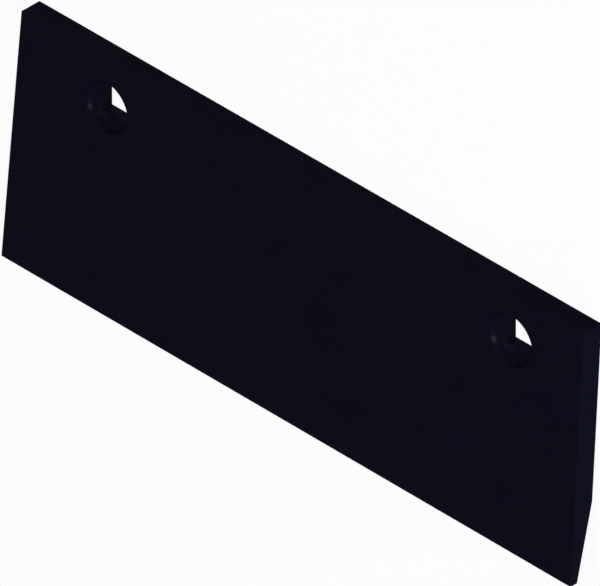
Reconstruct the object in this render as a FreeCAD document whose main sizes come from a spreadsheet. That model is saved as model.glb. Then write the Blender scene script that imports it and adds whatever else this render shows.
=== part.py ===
import FreeCAD, Part
import math
import os

import Sketcher

# Knife share: a flat blade of steel plate with a bevelled cutting edge and two bolt holes.
# It lies on its back face. X runs along the blade, +Y points to the bolt edge, and +Z points
# out of the front face, where the bolt heads sit. The origin is midway between the two bolt
# holes, on the back face. Lengths are in millimetres and angles in degrees.

SIZES = [
    ("thickness", 10.0, "plate, back face to front face"),
    ("width", 125.5, "bolt edge to cutting edge"),
    ("hole_spacing", 225.7, "between the centres of the two bolt holes"),
    ("hole_inset", 23.2, "hole centres below the bolt edge"),
    ("left_margin", 47.7, "bolt edge from its left corner to the left hole's centre"),
    ("right_margin", 40.2, "bolt edge from the right hole's centre to its right corner"),
    ("left_flare", 12.6, "how far the cutting edge runs out past the bolt edge, on the left"),
    ("right_setback", 6.2, "how far the cutting edge stops short of the bolt edge, on the right"),
    ("bevel_width", 37.7, "bevel on the back face, measured up from the cutting edge"),
    ("edge_land", 3.7, "blunt thickness left at the cutting edge"),
    ("seat_diameter", 24.3, "round rim that takes the bolt's head"),
    ("seat_rim_depth", 0.4, "straight wall of that rim, down from the front face"),
    ("seat_wall_radius", 6.2, "hollow round of the seat's wall, from the rim down to the cone"),
    ("seat_wall_tilt", 15.0, "lean of that wall where it leaves the rim, from straight down"),
    ("seat_cone_angle", 132.0, "included angle of the cone at the foot of the wall"),
    ("square_side", 13.4, "square hole that takes the bolt's neck"),
]

# Ends of a sketched line or arc, an arc's centre, and the sketch's own origin and horizontal axis
START = 1
END = 2
CENTRE = 3
ORIGIN = (-1, 1)
HORIZONTAL_AXIS = -1

# A feature runs through the whole body
THROUGH_ALL = 1
FULL_TURN = 360.0
HOLE_COUNT = 2

# Two volumes agree when they differ by less than this share
VOLUME_TOLERANCE = 1e-6


def add_sheet(doc):
    """Write the driving sizes to a sheet, one row each: name, value, meaning."""
    sheet = doc.addObject("Spreadsheet::Sheet", "Sizes")
    for row, (alias, value, meaning) in enumerate(SIZES, start=1):
        sheet.set(f"A{row}", alias)
        sheet.set(f"B{row}", str(value))
        sheet.set(f"C{row}", meaning)
        sheet.setAlias(f"B{row}", alias)
    doc.recompute()
    return sheet


def origin_plane(body, role):
    """Return the body's own origin plane that has this role."""
    return next(item for item in body.Origin.OriginFeatures if item.Role == role)


def add_sketch(body, name, plane_role):
    """Start a sketch on one of the body's origin planes."""
    sketch = body.newObject("Sketcher::SketchObject", name)
    sketch.AttachmentSupport = [(origin_plane(body, plane_role), "")]
    sketch.MapMode = "FlatFace"
    return sketch


def add_line(sketch, start, end):
    """Draw one line. Its ends are rough: the dimensions pull them to size."""
    segment = Part.LineSegment(FreeCAD.Vector(*start, 0), FreeCAD.Vector(*end, 0))
    return sketch.addGeometry(segment, False)


def add_arc(sketch, centre, radius, first_angle, last_angle):
    """Draw one arc, as rough as a line. It runs anticlockwise between its two angles."""
    circle = Part.Circle(FreeCAD.Vector(*centre, 0), FreeCAD.Vector(0, 0, 1), radius)
    arc = Part.ArcOfCircle(circle, math.radians(first_angle), math.radians(last_angle))
    return sketch.addGeometry(arc, False)


def join(sketch, first, second):
    """Hold two ends together."""
    sketch.addConstraint(Sketcher.Constraint("Coincident", *first, *second))


def add_polygon(sketch, corners):
    """Draw a closed chain of lines through these corners."""
    ends = corners[1:] + corners[:1]
    lines = [add_line(sketch, start, end) for start, end in zip(corners, ends)]
    for line, following in zip(lines, lines[1:] + lines[:1]):
        join(sketch, (line, END), (following, START))
    return lines


def dimension(sketch, name, kind, first, second, expression):
    """Set the X or Y distance from the first point to the second by an expression."""
    index = sketch.addConstraint(Sketcher.Constraint(kind, *first, *second, 1.0))
    sketch.renameConstraint(index, name)
    sketch.setExpression(f"Constraints.{name}", expression)


def add_plate(body):
    """Pad the outline: straight bolt and cutting edges, and an end that slopes on each side."""
    sketch = add_sketch(body, "Outline", "XY_Plane")
    bolt_edge, right_end, cutting_edge, left_end = add_polygon(
        sketch, [(-1, 1), (1, 1), (1, -1), (-1, -1)]
    )
    sketch.addConstraint(Sketcher.Constraint("Horizontal", bolt_edge))
    sketch.addConstraint(Sketcher.Constraint("Horizontal", cutting_edge))
    top_left = (bolt_edge, START)
    top_right = (right_end, START)
    bottom_right = (cutting_edge, START)
    bottom_left = (left_end, START)
    dimension(
        sketch, "left_corner", "DistanceX", top_left, ORIGIN,
        "Sizes.hole_spacing / 2 + Sizes.left_margin",
    )
    dimension(
        sketch, "right_corner", "DistanceX", ORIGIN, top_right,
        "Sizes.hole_spacing / 2 + Sizes.right_margin",
    )
    dimension(sketch, "inset", "DistanceY", ORIGIN, top_left, "Sizes.hole_inset")
    dimension(sketch, "depth", "DistanceY", bottom_left, top_left, "Sizes.width")
    dimension(sketch, "flare", "DistanceX", bottom_left, top_left, "Sizes.left_flare")
    dimension(sketch, "setback", "DistanceX", bottom_right, top_right, "Sizes.right_setback")

    plate = body.newObject("PartDesign::Pad", "Plate")
    plate.Profile = sketch
    plate.setExpression("Length", "Sizes.thickness")
    return plate


def add_bevel(body):
    """Cut the wedge that thins the back face towards the cutting edge, along the whole blade."""
    sketch = add_sketch(body, "BevelSection", "YZ_Plane")
    back, front, slope = add_polygon(sketch, [(1, 0), (-1, 0), (-1, 1)])
    sketch.addConstraint(Sketcher.Constraint("Horizontal", back))
    sketch.addConstraint(Sketcher.Constraint("Vertical", front))
    heel = (back, START)
    toe = (front, START)
    lip = (slope, START)
    sketch.addConstraint(Sketcher.Constraint("PointOnObject", *toe, HORIZONTAL_AXIS))
    dimension(
        sketch, "edge_place", "DistanceX", toe, ORIGIN, "Sizes.width - Sizes.hole_inset"
    )
    dimension(sketch, "run", "DistanceX", toe, heel, "Sizes.bevel_width")
    dimension(sketch, "rise", "DistanceY", toe, lip, "Sizes.thickness - Sizes.edge_land")

    bevel = body.newObject("PartDesign::Pocket", "Bevel")
    bevel.Profile = sketch
    bevel.Type = THROUGH_ALL
    bevel.Midplane = True
    return bevel


def add_head_seat(body):
    """Turn out the left seat: a short straight rim, a hollow round wall and a shallow cone."""
    sketch = add_sketch(body, "SeatProfile", "XZ_Plane")
    mouth = add_line(sketch, (0, 10), (12, 10))
    rim = add_line(sketch, (12, 10), (12, 9))
    wall = add_arc(sketch, (6, 11), 6, -66, -15)
    cone = add_line(sketch, (8, 5), (0, 2))
    axis = add_line(sketch, (0, 2), (0, 10))
    centre = (mouth, START)
    rim_top = (rim, START)
    rim_foot = (rim, END)
    wall_centre = (wall, CENTRE)
    wall_foot = (wall, START)
    tip = (axis, START)
    join(sketch, (mouth, END), rim_top)
    join(sketch, rim_foot, (wall, END))
    join(sketch, (cone, END), tip)
    join(sketch, (axis, END), centre)
    sketch.addConstraint(Sketcher.Constraint("Tangent", *wall_foot, cone, START))
    sketch.addConstraint(Sketcher.Constraint("Horizontal", mouth))
    sketch.addConstraint(Sketcher.Constraint("Vertical", rim))
    sketch.addConstraint(Sketcher.Constraint("Vertical", axis))
    dimension(sketch, "hole_place", "DistanceX", centre, ORIGIN, "Sizes.hole_spacing / 2")
    dimension(sketch, "face", "DistanceY", ORIGIN, centre, "Sizes.thickness")
    dimension(sketch, "radius", "DistanceX", centre, rim_top, "Sizes.seat_diameter / 2")
    dimension(sketch, "rim_wall", "DistanceY", rim_foot, rim_top, "Sizes.seat_rim_depth")
    dimension(
        sketch, "wall_reach", "DistanceX", wall_centre, rim_foot,
        "Sizes.seat_wall_radius * cos(Sizes.seat_wall_tilt)",
    )
    dimension(
        sketch, "wall_lift", "DistanceY", rim_foot, wall_centre,
        "Sizes.seat_wall_radius * sin(Sizes.seat_wall_tilt)",
    )
    dimension(
        sketch, "cone_place", "DistanceX", wall_centre, wall_foot,
        "Sizes.seat_wall_radius * cos(Sizes.seat_cone_angle / 2)",
    )

    seat = body.newObject("PartDesign::Groove", "HeadSeat")
    seat.Profile = sketch
    seat.ReferenceAxis = (sketch, [f"Edge{axis + 1}"])
    seat.Angle = FULL_TURN
    return seat


def add_square_hole(body):
    """Punch the left square hole right through, on the seat's own centre."""
    sketch = add_sketch(body, "SquareNeck", "XY_Plane")
    top, right, bottom, left = add_polygon(sketch, [(-1, 1), (1, 1), (1, -1), (-1, -1)])
    for line in (top, bottom):
        sketch.addConstraint(Sketcher.Constraint("Horizontal", line))
    for line in (right, left):
        sketch.addConstraint(Sketcher.Constraint("Vertical", line))
    top_left = (top, START)
    top_right = (right, START)
    bottom_left = (left, START)
    dimension(
        sketch, "left_wall", "DistanceX", top_left, ORIGIN,
        "Sizes.hole_spacing / 2 + Sizes.square_side / 2",
    )
    dimension(sketch, "upper_wall", "DistanceY", ORIGIN, top_left, "Sizes.square_side / 2")
    dimension(sketch, "across", "DistanceX", top_left, top_right, "Sizes.square_side")
    dimension(sketch, "down", "DistanceY", bottom_left, top_left, "Sizes.square_side")

    square = body.newObject("PartDesign::Pocket", "SquareHole")
    square.Profile = sketch
    square.Type = THROUGH_ALL
    square.Reversed = True
    return square


def repeat_hole(body, features, direction):
    """Repeat the left hole's features at the right hole, one hole spacing along the blade."""
    pattern = body.newObject("PartDesign::LinearPattern", "BoltHoles")
    pattern.Originals = features
    pattern.Direction = (direction, ["H_Axis"])
    pattern.Occurrences = HOLE_COUNT
    pattern.setExpression("Length", "Sizes.hole_spacing")
    body.Tip = pattern
    return pattern


def check_state(doc):
    """Stop if any object of the document failed to build."""
    for item in doc.Objects:
        faults = {"Invalid", "Error"}.intersection(item.State)
        if faults:
            raise RuntimeError(f"{item.Name}: {', '.join(sorted(faults))}")


def check_cuts(plate, bevel, seat, square, pattern):
    """Stop unless every cut took material away, and the two holes took twice as much as one."""
    volumes = [item.Shape.Volume for item in (plate, bevel, seat, square, pattern)]
    for before, after in zip(volumes, volumes[1:]):
        if before - after <= VOLUME_TOLERANCE * before:
            raise RuntimeError(f"a cut left the volume at {after:.1f} mm3")
    one_hole = bevel.Shape.Volume - square.Shape.Volume
    all_holes = bevel.Shape.Volume - pattern.Shape.Volume
    if abs(all_holes - HOLE_COUNT * one_hole) > VOLUME_TOLERANCE * bevel.Shape.Volume:
        raise RuntimeError(f"the holes take {all_holes:.1f} mm3, one takes {one_hole:.1f}")


def check_shape(body):
    """Stop unless the body holds exactly one valid solid."""
    shape = body.Shape
    if shape.isNull() or not shape.isValid() or len(shape.Solids) != 1:
        raise RuntimeError(f"{body.Label}: not one valid solid")


def build():
    """Build the knife share and return its body."""
    doc = FreeCAD.newDocument("KnifeShare")
    add_sheet(doc)
    body = doc.addObject("PartDesign::Body", "Blade")
    body.Label = "knife_share"
    body.Placement = FreeCAD.Placement()

    plate = add_plate(body)
    bevel = add_bevel(body)
    seat = add_head_seat(body)
    square = add_square_hole(body)
    doc.recompute()
    pattern = repeat_hole(body, [seat, square], plate.Profile[0])
    doc.recompute()

    check_state(doc)
    check_cuts(plate, bevel, seat, square, pattern)
    check_shape(body)
    return body


def export(bodies):
    """Write each body to its own file, named by its label."""
    os.makedirs("parts", exist_ok=True)
    for body in bodies:
        body.Shape.exportStep(f"parts/{body.Label}.step")
        print(f"{body.Label}: {body.Shape.Volume:.0f} mm3")


export([build()])
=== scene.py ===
"""Looks of a knife share: a flat steel blade with two sunk bolt holes and a bevelled edge.

The blade is painted near-black and lies on its back on a pale floor, in soft studio light.
"""

import logging
import math
from dataclasses import dataclass, field
from enum import Enum

import bmesh
import bpy
from mathutils import Matrix, Vector


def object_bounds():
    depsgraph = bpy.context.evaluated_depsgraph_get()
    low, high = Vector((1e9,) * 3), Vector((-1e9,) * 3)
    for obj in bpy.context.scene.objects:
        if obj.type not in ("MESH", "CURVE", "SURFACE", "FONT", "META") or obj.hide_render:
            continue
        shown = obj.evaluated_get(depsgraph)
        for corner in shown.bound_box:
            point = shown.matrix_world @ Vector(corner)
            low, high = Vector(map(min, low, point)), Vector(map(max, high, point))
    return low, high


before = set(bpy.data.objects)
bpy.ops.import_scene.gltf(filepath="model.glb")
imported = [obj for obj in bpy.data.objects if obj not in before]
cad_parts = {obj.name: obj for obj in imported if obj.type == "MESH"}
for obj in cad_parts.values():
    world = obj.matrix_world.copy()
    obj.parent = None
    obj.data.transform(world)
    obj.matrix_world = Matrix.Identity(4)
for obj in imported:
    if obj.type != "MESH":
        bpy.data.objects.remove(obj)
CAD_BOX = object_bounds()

LOG = logging.getLogger("knife_share")
OPAQUE = 1.0
WHITE = (1.0, 1.0, 1.0, OPAQUE)
MILLIMETRE = 0.001
COLUMN_STEP = 220.0
ROW_STEP = 240.0

Colour = tuple[float, float, float, float]
Place = tuple[float, float, float]


class BackgroundRay(Enum):
    """The kinds of ray that see the floor and the sky as a plain white background."""

    CAMERA = "Is Camera Ray"
    GLOSSY = "Is Glossy Ray"
    TRANSMISSION = "Is Transmission Ray"


class ToneScale(Enum):
    """How many spots of one tone lie in a metre of painted surface."""

    BROAD = 11.0
    PATCHY = 70.0
    FINE = 420.0


class NodeSheet:
    """A node tree with short calls to place and join its nodes."""

    def __init__(self, tree: bpy.types.NodeTree) -> None:
        """Take over a node tree.

        Args:
            tree: the tree that the nodes go into.
        """
        self.tree = tree

    def put(self, kind: str, column: int, row: int = 0) -> bpy.types.Node:
        """Place one node in a column and a row of the sheet.

        Args:
            kind: the node's Blender type name.
            column: the column, counted from the left.
            row: the row, counted from the top.

        Returns:
            The new node.
        """
        node = self.tree.nodes.new(kind)
        node.location = (column * COLUMN_STEP, -row * ROW_STEP)
        return node

    def join(self, source: bpy.types.NodeSocket, target: bpy.types.NodeSocket) -> None:
        """Join an output socket to an input socket."""
        self.tree.links.new(source, target)

    def arithmetic(
        self,
        operation: str,
        first: bpy.types.NodeSocket,
        second: bpy.types.NodeSocket | float,
        column: int,
        row: int = 0,
    ) -> bpy.types.NodeSocket:
        """Add a Math node for two values.

        Args:
            operation: the Math node's operation.
            first: the socket of the first value.
            second: the socket of the second value, or the value itself.
            column: the column, counted from the left.
            row: the row, counted from the top.

        Returns:
            The socket with the result.
        """
        node = self.put("ShaderNodeMath", column, row)
        node.operation = operation
        self.join(first, node.inputs[0])
        if isinstance(second, bpy.types.NodeSocket):
            self.join(second, node.inputs[1])
        else:
            node.inputs[1].default_value = second
        return node.outputs[0]

    def background_rays(self, column: int, row: int = 0) -> bpy.types.NodeSocket:
        """Tell the rays that see the white background from the rays that light the scene.

        Args:
            column: the first column, counted from the left.
            row: the row, counted from the top.

        Returns:
            A socket that is 1 for every kind of BackgroundRay and 0 for the others.
        """
        path = self.put("ShaderNodeLightPath", column, row)
        kinds = [path.outputs[kind.value] for kind in BackgroundRay]
        seen = kinds[0]
        for step, kind in enumerate(kinds[1:], start=1):
            seen = self.arithmetic("MAXIMUM", seen, kind, column + step, row)
        return seen


class ShaderGroup:
    """A shader node group with named inputs and outputs, built once for all materials."""

    name = "group"
    inputs: tuple[tuple[str, str, float | None], ...] = ()
    outputs: tuple[tuple[str, str], ...] = ()
    first_column = 0
    last_column = 8

    def __init__(self) -> None:
        """Make the group's tree, its named sockets and its nodes."""
        self.tree = bpy.data.node_groups.new(self.name, "ShaderNodeTree")
        for label, kind, value in self.inputs:
            socket = self.tree.interface.new_socket(label, in_out="INPUT", socket_type=kind)
            if value is not None:
                socket.default_value = value
        for label, kind in self.outputs:
            self.tree.interface.new_socket(label, in_out="OUTPUT", socket_type=kind)
        sheet = NodeSheet(self.tree)
        start = sheet.put("NodeGroupInput", self.first_column)
        end = sheet.put("NodeGroupOutput", self.last_column)
        self.draw(sheet, start, end)

    def draw(self, sheet: NodeSheet, start: bpy.types.Node, end: bpy.types.Node) -> None:
        """Fill the group with its nodes.

        Args:
            sheet: the group's node tree.
            start: the node with the group's inputs.
            end: the node with the group's outputs.
        """
        raise NotImplementedError

    def place(self, sheet: NodeSheet, column: int, row: int, **values: float) -> bpy.types.Node:
        """Put this group into a material.

        Args:
            sheet: the material's node tree.
            column: the column, counted from the left.
            row: the row, counted from the top.
            values: the inputs' values, by their names with _ for each blank.

        Returns:
            The group's node in that material.
        """
        node = sheet.put("ShaderNodeGroup", column, row)
        node.node_tree = self.tree
        for label, value in values.items():
            node.inputs[label.replace("_", " ")].default_value = value
        return node


class ToneSpots(ShaderGroup):
    """Soft spots of a lighter and a darker tone, from 0 to 1."""

    name = "tone_spots"
    inputs = (
        ("Place", "NodeSocketVector", None),
        ("Spots Per Metre", "NodeSocketFloat", ToneScale.BROAD.value),
        ("Detail", "NodeSocketFloat", 3.0),
        ("Contrast", "NodeSocketFloat", 2.0),
    )
    outputs = (("Tone", "NodeSocketFloat"),)
    middle = 0.5

    def draw(self, sheet: NodeSheet, start: bpy.types.Node, end: bpy.types.Node) -> None:
        """Fill the group with a noise that is spread about its middle value.

        Args:
            sheet: the group's node tree.
            start: the node with the group's inputs.
            end: the node with the group's outputs.
        """
        noise = sheet.put("ShaderNodeTexNoise", 2)
        sheet.join(start.outputs["Place"], noise.inputs["Vector"])
        sheet.join(start.outputs["Spots Per Metre"], noise.inputs["Scale"])
        sheet.join(start.outputs["Detail"], noise.inputs["Detail"])
        centred = sheet.arithmetic("SUBTRACT", noise.outputs["Fac"], self.middle, 3)
        spread = sheet.arithmetic("MULTIPLY", centred, start.outputs["Contrast"], 4)
        tone = sheet.arithmetic("ADD", spread, self.middle, 5)
        tone.node.use_clamp = True
        sheet.join(tone, end.inputs["Tone"])


class PaintFilm(ShaderGroup):
    """The relief of a sprayed paint film: a fine ripple and a few small dust nibs."""

    name = "paint_film"
    inputs = (
        ("Place", "NodeSocketVector", None),
        ("Ripples Per Metre", "NodeSocketFloat", 700.0),
        ("Nibs Per Metre", "NodeSocketFloat", 130.0),
        ("Nib Width", "NodeSocketFloat", 0.05),
        ("Nib Height", "NodeSocketFloat", 0.6),
    )
    outputs = (("Height", "NodeSocketFloat"),)
    ripple_detail = 1.5
    nib_foot = 0.0

    def draw(self, sheet: NodeSheet, start: bpy.types.Node, end: bpy.types.Node) -> None:
        """Fill the group with the ripple's noise and the nibs' cells.

        Args:
            sheet: the group's node tree.
            start: the node with the group's inputs.
            end: the node with the group's outputs.
        """
        ripple = sheet.put("ShaderNodeTexNoise", 2)
        ripple.inputs["Detail"].default_value = self.ripple_detail
        sheet.join(start.outputs["Place"], ripple.inputs["Vector"])
        sheet.join(start.outputs["Ripples Per Metre"], ripple.inputs["Scale"])
        cells = sheet.put("ShaderNodeTexVoronoi", 2, 1)
        sheet.join(start.outputs["Place"], cells.inputs["Vector"])
        sheet.join(start.outputs["Nibs Per Metre"], cells.inputs["Scale"])
        nib = sheet.put("ShaderNodeMapRange", 4, 1)
        nib.interpolation_type = "SMOOTHSTEP"
        sheet.join(cells.outputs["Distance"], nib.inputs["Value"])
        sheet.join(start.outputs["Nib Width"], nib.inputs["From Max"])
        sheet.join(start.outputs["Nib Height"], nib.inputs["To Min"])
        nib.inputs["To Max"].default_value = self.nib_foot
        height = sheet.arithmetic("ADD", ripple.outputs["Fac"], nib.outputs["Result"], 6)
        sheet.join(height, end.inputs["Height"])


class RollingLines(ShaderGroup):
    """Faint long lines that rolling leaves along a steel plate, seen through its paint."""

    name = "rolling_lines"
    inputs = (
        ("Place", "NodeSocketVector", None),
        ("Lines Per Metre", "NodeSocketFloat", 260.0),
        ("Length", "NodeSocketFloat", 30.0),
    )
    outputs = (("Lines", "NodeSocketFloat"),)
    detail = 2.0

    def draw(self, sheet: NodeSheet, start: bpy.types.Node, end: bpy.types.Node) -> None:
        """Fill the group with a noise that is drawn out along the plate.

        Args:
            sheet: the group's node tree.
            start: the node with the group's inputs.
            end: the node with the group's outputs.
        """
        parts = sheet.put("ShaderNodeSeparateXYZ", 1)
        sheet.join(start.outputs["Place"], parts.inputs[0])
        along = sheet.arithmetic("DIVIDE", parts.outputs["X"], start.outputs["Length"], 2)
        drawn = sheet.put("ShaderNodeCombineXYZ", 3)
        sheet.join(along, drawn.inputs["X"])
        sheet.join(parts.outputs["Y"], drawn.inputs["Y"])
        sheet.join(parts.outputs["Z"], drawn.inputs["Z"])
        noise = sheet.put("ShaderNodeTexNoise", 5)
        noise.inputs["Detail"].default_value = self.detail
        sheet.join(drawn.outputs["Vector"], noise.inputs["Vector"])
        sheet.join(start.outputs["Lines Per Metre"], noise.inputs["Scale"])
        sheet.join(noise.outputs["Fac"], end.inputs["Lines"])


class PaintedRecessLight(ShaderGroup):
    """A mask of painted light in the sunk places, where the blade's own walls shade the paint.

    The paint is made paler there to stand in for the light that the walls keep off, most on
    walls turned away from the side lamp at the right end.
    """

    name = "painted_recess_light"
    inputs = (
        ("Facing", "NodeSocketVector", None),
        ("Reach", "NodeSocketFloat", 10.0 * MILLIMETRE),
        ("Falloff", "NodeSocketFloat", 1.0),
        ("Windward", "NodeSocketFloat", 1.0),
        ("Lee", "NodeSocketFloat", 1.0),
        ("Most", "NodeSocketFloat", 1.0),
    )
    outputs = (("Mask", "NodeSocketFloat"),)
    samples = 12
    turned_away = -1.0

    def draw(self, sheet: NodeSheet, start: bpy.types.Node, end: bpy.types.Node) -> None:
        """Fill the group with how far the walls close in on each place and which way it faces.

        Args:
            sheet: the group's node tree.
            start: the node with the group's inputs.
            end: the node with the group's outputs.
        """
        openness = sheet.put("ShaderNodeAmbientOcclusion", 2)
        openness.samples = self.samples
        openness.only_local = True
        sheet.join(start.outputs["Reach"], openness.inputs["Distance"])
        closed = sheet.put("ShaderNodeInvert", 3)
        sheet.join(openness.outputs["AO"], closed.inputs["Color"])
        depth = sheet.arithmetic("POWER", closed.outputs["Color"], start.outputs["Falloff"], 5)
        facing = sheet.put("ShaderNodeSeparateXYZ", 2, 1)
        sheet.join(start.outputs["Facing"], facing.inputs["Vector"])
        side = sheet.put("ShaderNodeMapRange", 3, 1)
        side.inputs["From Min"].default_value = self.turned_away
        sheet.join(facing.outputs["X"], side.inputs["Value"])
        sheet.join(start.outputs["Lee"], side.inputs["To Min"])
        sheet.join(start.outputs["Windward"], side.inputs["To Max"])
        # painted light: the recess mask is raised most on walls turned away from the side lamp
        painted_light_amount = sheet.arithmetic("MULTIPLY", depth, side.outputs["Result"], 6)
        mask = sheet.arithmetic("MINIMUM", painted_light_amount, start.outputs["Most"], 7)
        sheet.join(mask, end.inputs["Mask"])


class Effects:
    """The shader groups that the finishes share."""

    def __init__(self) -> None:
        """Build each group once."""
        self.tone_spots = ToneSpots()
        self.painted_recess_light = PaintedRecessLight()
        self.paint_film = PaintFilm()
        self.rolling_lines = RollingLines()


@dataclass(frozen=True)
class SatinPaint:
    """A satin paint, near-black with a touch of blue, sprayed on a rolled plate."""

    name: str = "satin_black_paint"
    deep: Colour = (0.0005, 0.0005, 0.0052, OPAQUE)
    pale: Colour = (0.0009, 0.0010, 0.0062, OPAQUE)
    dusty: Colour = (0.0015, 0.0016, 0.0071, OPAQUE)
    dusty_share: float = 0.35
    # painted light: a pale tint that lifts the shade in the sunk seats and square holes
    painted_light_tint: Colour = (0.043, 0.043, 0.079, OPAQUE)
    painted_light_reach: float = 14.0 * MILLIMETRE
    painted_light_falloff: float = 2.1
    painted_light_lampward: float = 0.8
    painted_light_shadeward: float = 4.5
    painted_light_most: float = 0.24
    roughness_low: float = 0.72
    roughness_high: float = 0.86
    specular_level: float = 0.014
    gloss_low: float = 0.025
    gloss_high: float = 0.030
    gloss_roughness: float = 0.26
    lines_per_metre: float = 260.0
    line_length: float = 30.0
    line_depth: float = 0.008 * MILLIMETRE
    ripples_per_metre: float = 700.0
    nibs_per_metre: float = 130.0
    nib_width: float = 0.05
    nib_height: float = 0.6
    film_depth: float = 0.012 * MILLIMETRE

    def make(self, effects: Effects) -> bpy.types.Material:
        """Build the paint's material.

        Args:
            effects: the shared shader groups.

        Returns:
            The material.
        """
        material = bpy.data.materials.new(self.name)
        material.use_nodes = True
        material.node_tree.nodes.clear()
        sheet = NodeSheet(material.node_tree)
        place = sheet.put("ShaderNodeTexCoord", 0).outputs["Object"]
        shader = sheet.put("ShaderNodeBsdfPrincipled", 8)
        shader.inputs["Specular IOR Level"].default_value = self.specular_level
        shader.inputs["Coat Roughness"].default_value = self.gloss_roughness
        broad = self.spots(sheet, effects, place, ToneScale.BROAD, 0)
        patchy = self.spots(sheet, effects, place, ToneScale.PATCHY, 1)
        fine = self.spots(sheet, effects, place, ToneScale.FINE, 2)
        sheet.join(self.colour(sheet, effects, broad, fine), shader.inputs["Base Color"])
        both = sheet.arithmetic("MULTIPLY", broad, patchy, 4, 1)
        matting = self.spread(sheet, both, self.roughness_low, self.roughness_high, 1)
        gloss = self.spread(sheet, patchy, self.gloss_high, self.gloss_low, 2)
        sheet.join(matting, shader.inputs["Roughness"])
        sheet.join(gloss, shader.inputs["Coat Weight"])
        sheet.join(self.relief(sheet, effects, place), shader.inputs["Normal"])
        output = sheet.put("ShaderNodeOutputMaterial", 10)
        sheet.join(shader.outputs["BSDF"], output.inputs["Surface"])
        return material

    def spots(
        self,
        sheet: NodeSheet,
        effects: Effects,
        place: bpy.types.NodeSocket,
        scale: ToneScale,
        row: int,
    ) -> bpy.types.NodeSocket:
        """Place one layer of tone spots.

        Args:
            sheet: the material's node tree.
            effects: the shared shader groups.
            place: the socket with the surface's own coordinates.
            scale: how close the spots lie.
            row: the row of the sheet.

        Returns:
            The socket with the tone, from 0 to 1.
        """
        node = effects.tone_spots.place(sheet, 2, row, Spots_Per_Metre=scale.value)
        sheet.join(place, node.inputs["Place"])
        return node.outputs["Tone"]

    def colour(
        self,
        sheet: NodeSheet,
        effects: Effects,
        broad: bpy.types.NodeSocket,
        fine: bpy.types.NodeSocket,
    ) -> bpy.types.NodeSocket:
        """Mix the paint's colour from its three tones and a painted light in the sunk places,
        which lifts the shade that their walls cast.

        Args:
            sheet: the material's node tree.
            effects: the shared shader groups.
            broad: the tone of the broad spots.
            fine: the tone of the fine spots.

        Returns:
            The socket with the colour.
        """
        body = sheet.put("ShaderNodeMix", 4, 0)
        body.data_type = "RGBA"
        body.inputs["A"].default_value = self.deep
        body.inputs["B"].default_value = self.pale
        sheet.join(broad, body.inputs["Factor"])
        share = sheet.arithmetic("MULTIPLY", fine, self.dusty_share, 4, 2)
        dusted = sheet.put("ShaderNodeMix", 6, 0)
        dusted.data_type = "RGBA"
        dusted.inputs["B"].default_value = self.dusty
        sheet.join(share, dusted.inputs["Factor"])
        sheet.join(body.outputs["Result"], dusted.inputs["A"])
        # painted light: the pale tint is mixed in where the blade's own walls shade the paint
        painted_light_mix = sheet.put("ShaderNodeMix", 7, 0)
        painted_light_mix.data_type = "RGBA"
        painted_light_mix.inputs["B"].default_value = self.painted_light_tint
        facing = sheet.put("ShaderNodeTexCoord", 0, 5).outputs["Normal"]
        painted_light_group = effects.painted_recess_light.place(
            sheet,
            2,
            5,
            Reach=self.painted_light_reach,
            Falloff=self.painted_light_falloff,
            Windward=self.painted_light_lampward,
            Lee=self.painted_light_shadeward,
            Most=self.painted_light_most,
        )
        sheet.join(facing, painted_light_group.inputs["Facing"])
        sheet.join(painted_light_group.outputs["Mask"], painted_light_mix.inputs["Factor"])
        sheet.join(dusted.outputs["Result"], painted_light_mix.inputs["A"])
        return painted_light_mix.outputs["Result"]

    def spread(
        self,
        sheet: NodeSheet,
        tone: bpy.types.NodeSocket,
        start: float,
        end: float,
        row: int,
    ) -> bpy.types.NodeSocket:
        """Spread a tone between two values.

        Args:
            sheet: the material's node tree.
            tone: the socket with the tone, from 0 to 1.
            start: the value where the tone is 0.
            end: the value where the tone is 1.
            row: the row of the sheet.

        Returns:
            The socket with the value.
        """
        node = sheet.put("ShaderNodeMapRange", 6, row)
        node.inputs["To Min"].default_value = start
        node.inputs["To Max"].default_value = end
        sheet.join(tone, node.inputs["Value"])
        return node.outputs["Result"]

    def relief(
        self, sheet: NodeSheet, effects: Effects, place: bpy.types.NodeSocket
    ) -> bpy.types.NodeSocket:
        """Raise the rolling lines and the paint film on them.

        Args:
            sheet: the material's node tree.
            effects: the shared shader groups.
            place: the socket with the surface's own coordinates.

        Returns:
            The socket with the normal.
        """
        lines = effects.rolling_lines.place(
            sheet, 2, 3, Lines_Per_Metre=self.lines_per_metre, Length=self.line_length
        )
        film = effects.paint_film.place(
            sheet,
            2,
            4,
            Ripples_Per_Metre=self.ripples_per_metre,
            Nibs_Per_Metre=self.nibs_per_metre,
            Nib_Width=self.nib_width,
            Nib_Height=self.nib_height,
        )
        sheet.join(place, lines.inputs["Place"])
        sheet.join(place, film.inputs["Place"])
        under = sheet.put("ShaderNodeBump", 4, 3)
        under.inputs["Distance"].default_value = self.line_depth
        sheet.join(lines.outputs["Lines"], under.inputs["Height"])
        over = sheet.put("ShaderNodeBump", 6, 3)
        over.inputs["Distance"].default_value = self.film_depth
        sheet.join(film.outputs["Height"], over.inputs["Height"])
        sheet.join(under.outputs["Normal"], over.inputs["Normal"])
        return over.outputs["Normal"]


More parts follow.
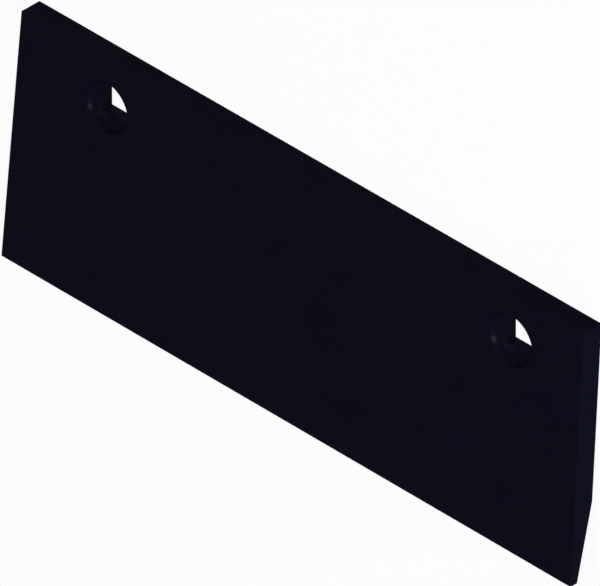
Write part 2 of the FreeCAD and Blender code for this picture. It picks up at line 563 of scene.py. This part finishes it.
@dataclass(frozen=True)
class PaleFloorFinish:
    """A matt white floor that the background rays see as nearly plain white."""

    name: str = "pale_floor"
    light: Colour = (0.90, 0.90, 0.90, OPAQUE)
    shade: Colour = (0.87, 0.87, 0.87, OPAQUE)
    share_near: float = 0.93
    share_far: float = 1.0
    near: float = 0.45
    far: float = 2.5

    def make(self, effects: Effects) -> bpy.types.Material:
        """Build the floor's material.

        Args:
            effects: the shared shader groups.

        Returns:
            The material.
        """
        material = bpy.data.materials.new(self.name)
        material.use_nodes = True
        material.node_tree.nodes.clear()
        sheet = NodeSheet(material.node_tree)
        place = sheet.put("ShaderNodeTexCoord", 0).outputs["Object"]
        spots = effects.tone_spots.place(sheet, 2, 0, Spots_Per_Metre=ToneScale.FINE.value)
        sheet.join(place, spots.inputs["Place"])
        tone = sheet.put("ShaderNodeMix", 4, 0)
        tone.data_type = "RGBA"
        tone.inputs["A"].default_value = self.shade
        tone.inputs["B"].default_value = self.light
        sheet.join(spots.outputs["Tone"], tone.inputs["Factor"])
        matt = sheet.put("ShaderNodeBsdfDiffuse", 6, 0)
        sheet.join(tone.outputs["Result"], matt.inputs["Color"])
        white = sheet.put("ShaderNodeEmission", 6, 1)
        white.inputs["Color"].default_value = WHITE
        reach = sheet.put("ShaderNodeVectorMath", 2, 2)
        reach.operation = "LENGTH"
        sheet.join(place, reach.inputs[0])
        share = sheet.put("ShaderNodeMapRange", 4, 2)
        share.inputs["From Min"].default_value = self.near
        share.inputs["From Max"].default_value = self.far
        share.inputs["To Min"].default_value = self.share_near
        share.inputs["To Max"].default_value = self.share_far
        sheet.join(reach.outputs["Value"], share.inputs["Value"])
        seen = sheet.background_rays(2, 3)
        plain = sheet.arithmetic("MULTIPLY", share.outputs["Result"], seen, 6, 2)
        both = sheet.put("ShaderNodeMixShader", 8, 0)
        sheet.join(plain, both.inputs[0])
        sheet.join(matt.outputs[0], both.inputs[1])
        sheet.join(white.outputs[0], both.inputs[2])
        output = sheet.put("ShaderNodeOutputMaterial", 10)
        sheet.join(both.outputs[0], output.inputs["Surface"])
        return material


@dataclass
class Blade:
    """The knife share's one piece, a steel plate from model.glb."""

    node: str = "knife_share"
    slot: str = "blade_steel"
    finish: SatinPaint = field(default_factory=SatinPaint)

    def dress(self, effects: Effects) -> bpy.types.Object:
        """Give the plate its paint.

        Args:
            effects: the shared shader groups.

        Returns:
            The plate's object.
        """
        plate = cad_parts[self.node]
        paint = self.finish.make(effects)
        for holder in plate.material_slots:
            holder.material = paint
        return plate


@dataclass
class Floor:
    """The round floor that the blade lies on."""

    radius: float = 60.0
    gap: float = 0.2 * MILLIMETRE
    sides: int = 96
    finish: PaleFloorFinish = field(default_factory=PaleFloorFinish)

    def build(self, effects: Effects) -> bpy.types.Object:
        """Make the floor just below the blade's back face.

        Args:
            effects: the shared shader groups.

        Returns:
            The floor's object.
        """
        disc = bmesh.new()
        bmesh.ops.create_circle(disc, cap_ends=True, radius=self.radius, segments=self.sides)
        mesh = bpy.data.meshes.new("floor")
        disc.to_mesh(mesh)
        disc.free()
        mesh.materials.append(self.finish.make(effects))
        floor = bpy.data.objects.new("floor", mesh)
        floor.location.z = CAD_BOX[0].z - self.gap
        bpy.context.scene.collection.objects.link(floor)
        return floor


@dataclass
class Sky:
    """The white surround: plain white to the eye, and a soft even light on the blade."""

    name: str = "white_surround"
    light_strength: float = 0.22
    seen_strength: float = 1.0

    def build(self) -> bpy.types.World:
        """Make the world and use it in the scene.

        Returns:
            The world.
        """
        world = bpy.data.worlds.new(self.name)
        world.use_nodes = True
        world.node_tree.nodes.clear()
        sheet = NodeSheet(world.node_tree)
        light = sheet.put("ShaderNodeBackground", 2, 0)
        light.inputs["Color"].default_value = WHITE
        light.inputs["Strength"].default_value = self.light_strength
        seen = sheet.put("ShaderNodeBackground", 2, 1)
        seen.inputs["Color"].default_value = WHITE
        seen.inputs["Strength"].default_value = self.seen_strength
        both = sheet.put("ShaderNodeMixShader", 4, 0)
        sheet.join(sheet.background_rays(0, 2), both.inputs[0])
        sheet.join(light.outputs[0], both.inputs[1])
        sheet.join(seen.outputs[0], both.inputs[2])
        output = sheet.put("ShaderNodeOutputWorld", 6)
        sheet.join(both.outputs[0], output.inputs["Surface"])
        bpy.context.scene.world = world
        return world


@dataclass
class SoftLamp:
    """A rectangular studio lamp that faces a point near the blade."""

    name: str
    place: Place
    aim: Place
    width: float
    height: float
    power: float

    def build(self) -> bpy.types.Object:
        """Hang the lamp and turn it to its aim.

        Returns:
            The lamp's object.
        """
        light = bpy.data.lights.new(self.name, "AREA")
        light.shape = "RECTANGLE"
        light.size = self.width
        light.size_y = self.height
        light.energy = self.power
        lamp = bpy.data.objects.new(self.name, light)
        lamp.location = self.place
        towards = Vector(self.aim) - Vector(self.place)
        lamp.rotation_euler = towards.to_track_quat("-Z", "Y").to_euler()
        lamp.visible_camera = False
        bpy.context.scene.collection.objects.link(lamp)
        return lamp


@dataclass
class LongLens:
    """A far-off camera with a long lens, turned so that the blade runs down the frame."""

    lens_mm: float = 1600.0
    sensor_mm: float = 36.0
    azimuth: float = 135.0753
    elevation: float = 35.2354
    roll: float = -120.0348
    distance: float = 10.5378
    along_right: float = -9.800 * MILLIMETRE
    along_up: float = -31.715 * MILLIMETRE
    nearest: float = 1.0
    farthest: float = 120.0

    def build(self) -> bpy.types.Object:
        """Set up the camera and make it the scene's own.

        Returns:
            The camera's object.
        """
        azimuth, elevation, roll = (
            math.radians(angle) for angle in (self.azimuth, self.elevation, self.roll)
        )
        back = Vector(
            (
                math.sin(azimuth) * math.cos(elevation),
                -math.cos(azimuth) * math.cos(elevation),
                math.sin(elevation),
            )
        )
        level = Vector((math.cos(azimuth), math.sin(azimuth), 0.0))
        upright = back.cross(level)
        right = level * math.cos(roll) + upright * math.sin(roll)
        up = upright * math.cos(roll) - level * math.sin(roll)
        place = back * self.distance + right * self.along_right + up * self.along_up
        data = bpy.data.cameras.new("camera")
        data.lens = self.lens_mm
        data.sensor_width = self.sensor_mm
        data.clip_start = self.nearest
        data.clip_end = self.farthest
        camera = bpy.data.objects.new("camera", data)
        turned = Matrix((right, up, back)).transposed().to_4x4()
        camera.matrix_world = Matrix.Translation(place) @ turned
        bpy.context.scene.collection.objects.link(camera)
        bpy.context.scene.camera = camera
        return camera


BLADE_MIDDLE = (0.0, -0.03, 0.0)
LAMPS = (
    SoftLamp(
        name="side_lamp",
        place=(2.85, 0.57, 0.78),
        aim=BLADE_MIDDLE,
        width=1.12,
        height=1.12,
        power=90.0,
    ),
    SoftLamp(
        name="overhead_lamp",
        place=(0.10, 0.30, 1.78),
        aim=BLADE_MIDDLE,
        width=1.3,
        height=1.3,
        power=11.0,
    ),
)


def main() -> None:
    """Build the stage, dress the blade and report each piece."""
    logging.basicConfig(level=logging.INFO, format="%(name)s: %(message)s")
    bpy.context.scene.view_settings.view_transform = "Standard"
    effects = Effects()
    camera = LongLens().build()
    LOG.info("%s at %s", camera.name, [round(part, 3) for part in camera.location])
    plate = Blade().dress(effects)
    LOG.info("%s in %s", plate.name, plate.material_slots[0].material.name)
    floor = Floor().build(effects)
    LOG.info("%s at height %.4f m", floor.name, floor.location.z)
    world = Sky().build()
    LOG.info("%s", world.name)
    for lamp in LAMPS:
        LOG.info("%s of %.1f W", lamp.build().name, lamp.power)


if __name__ == "__main__":
    main()
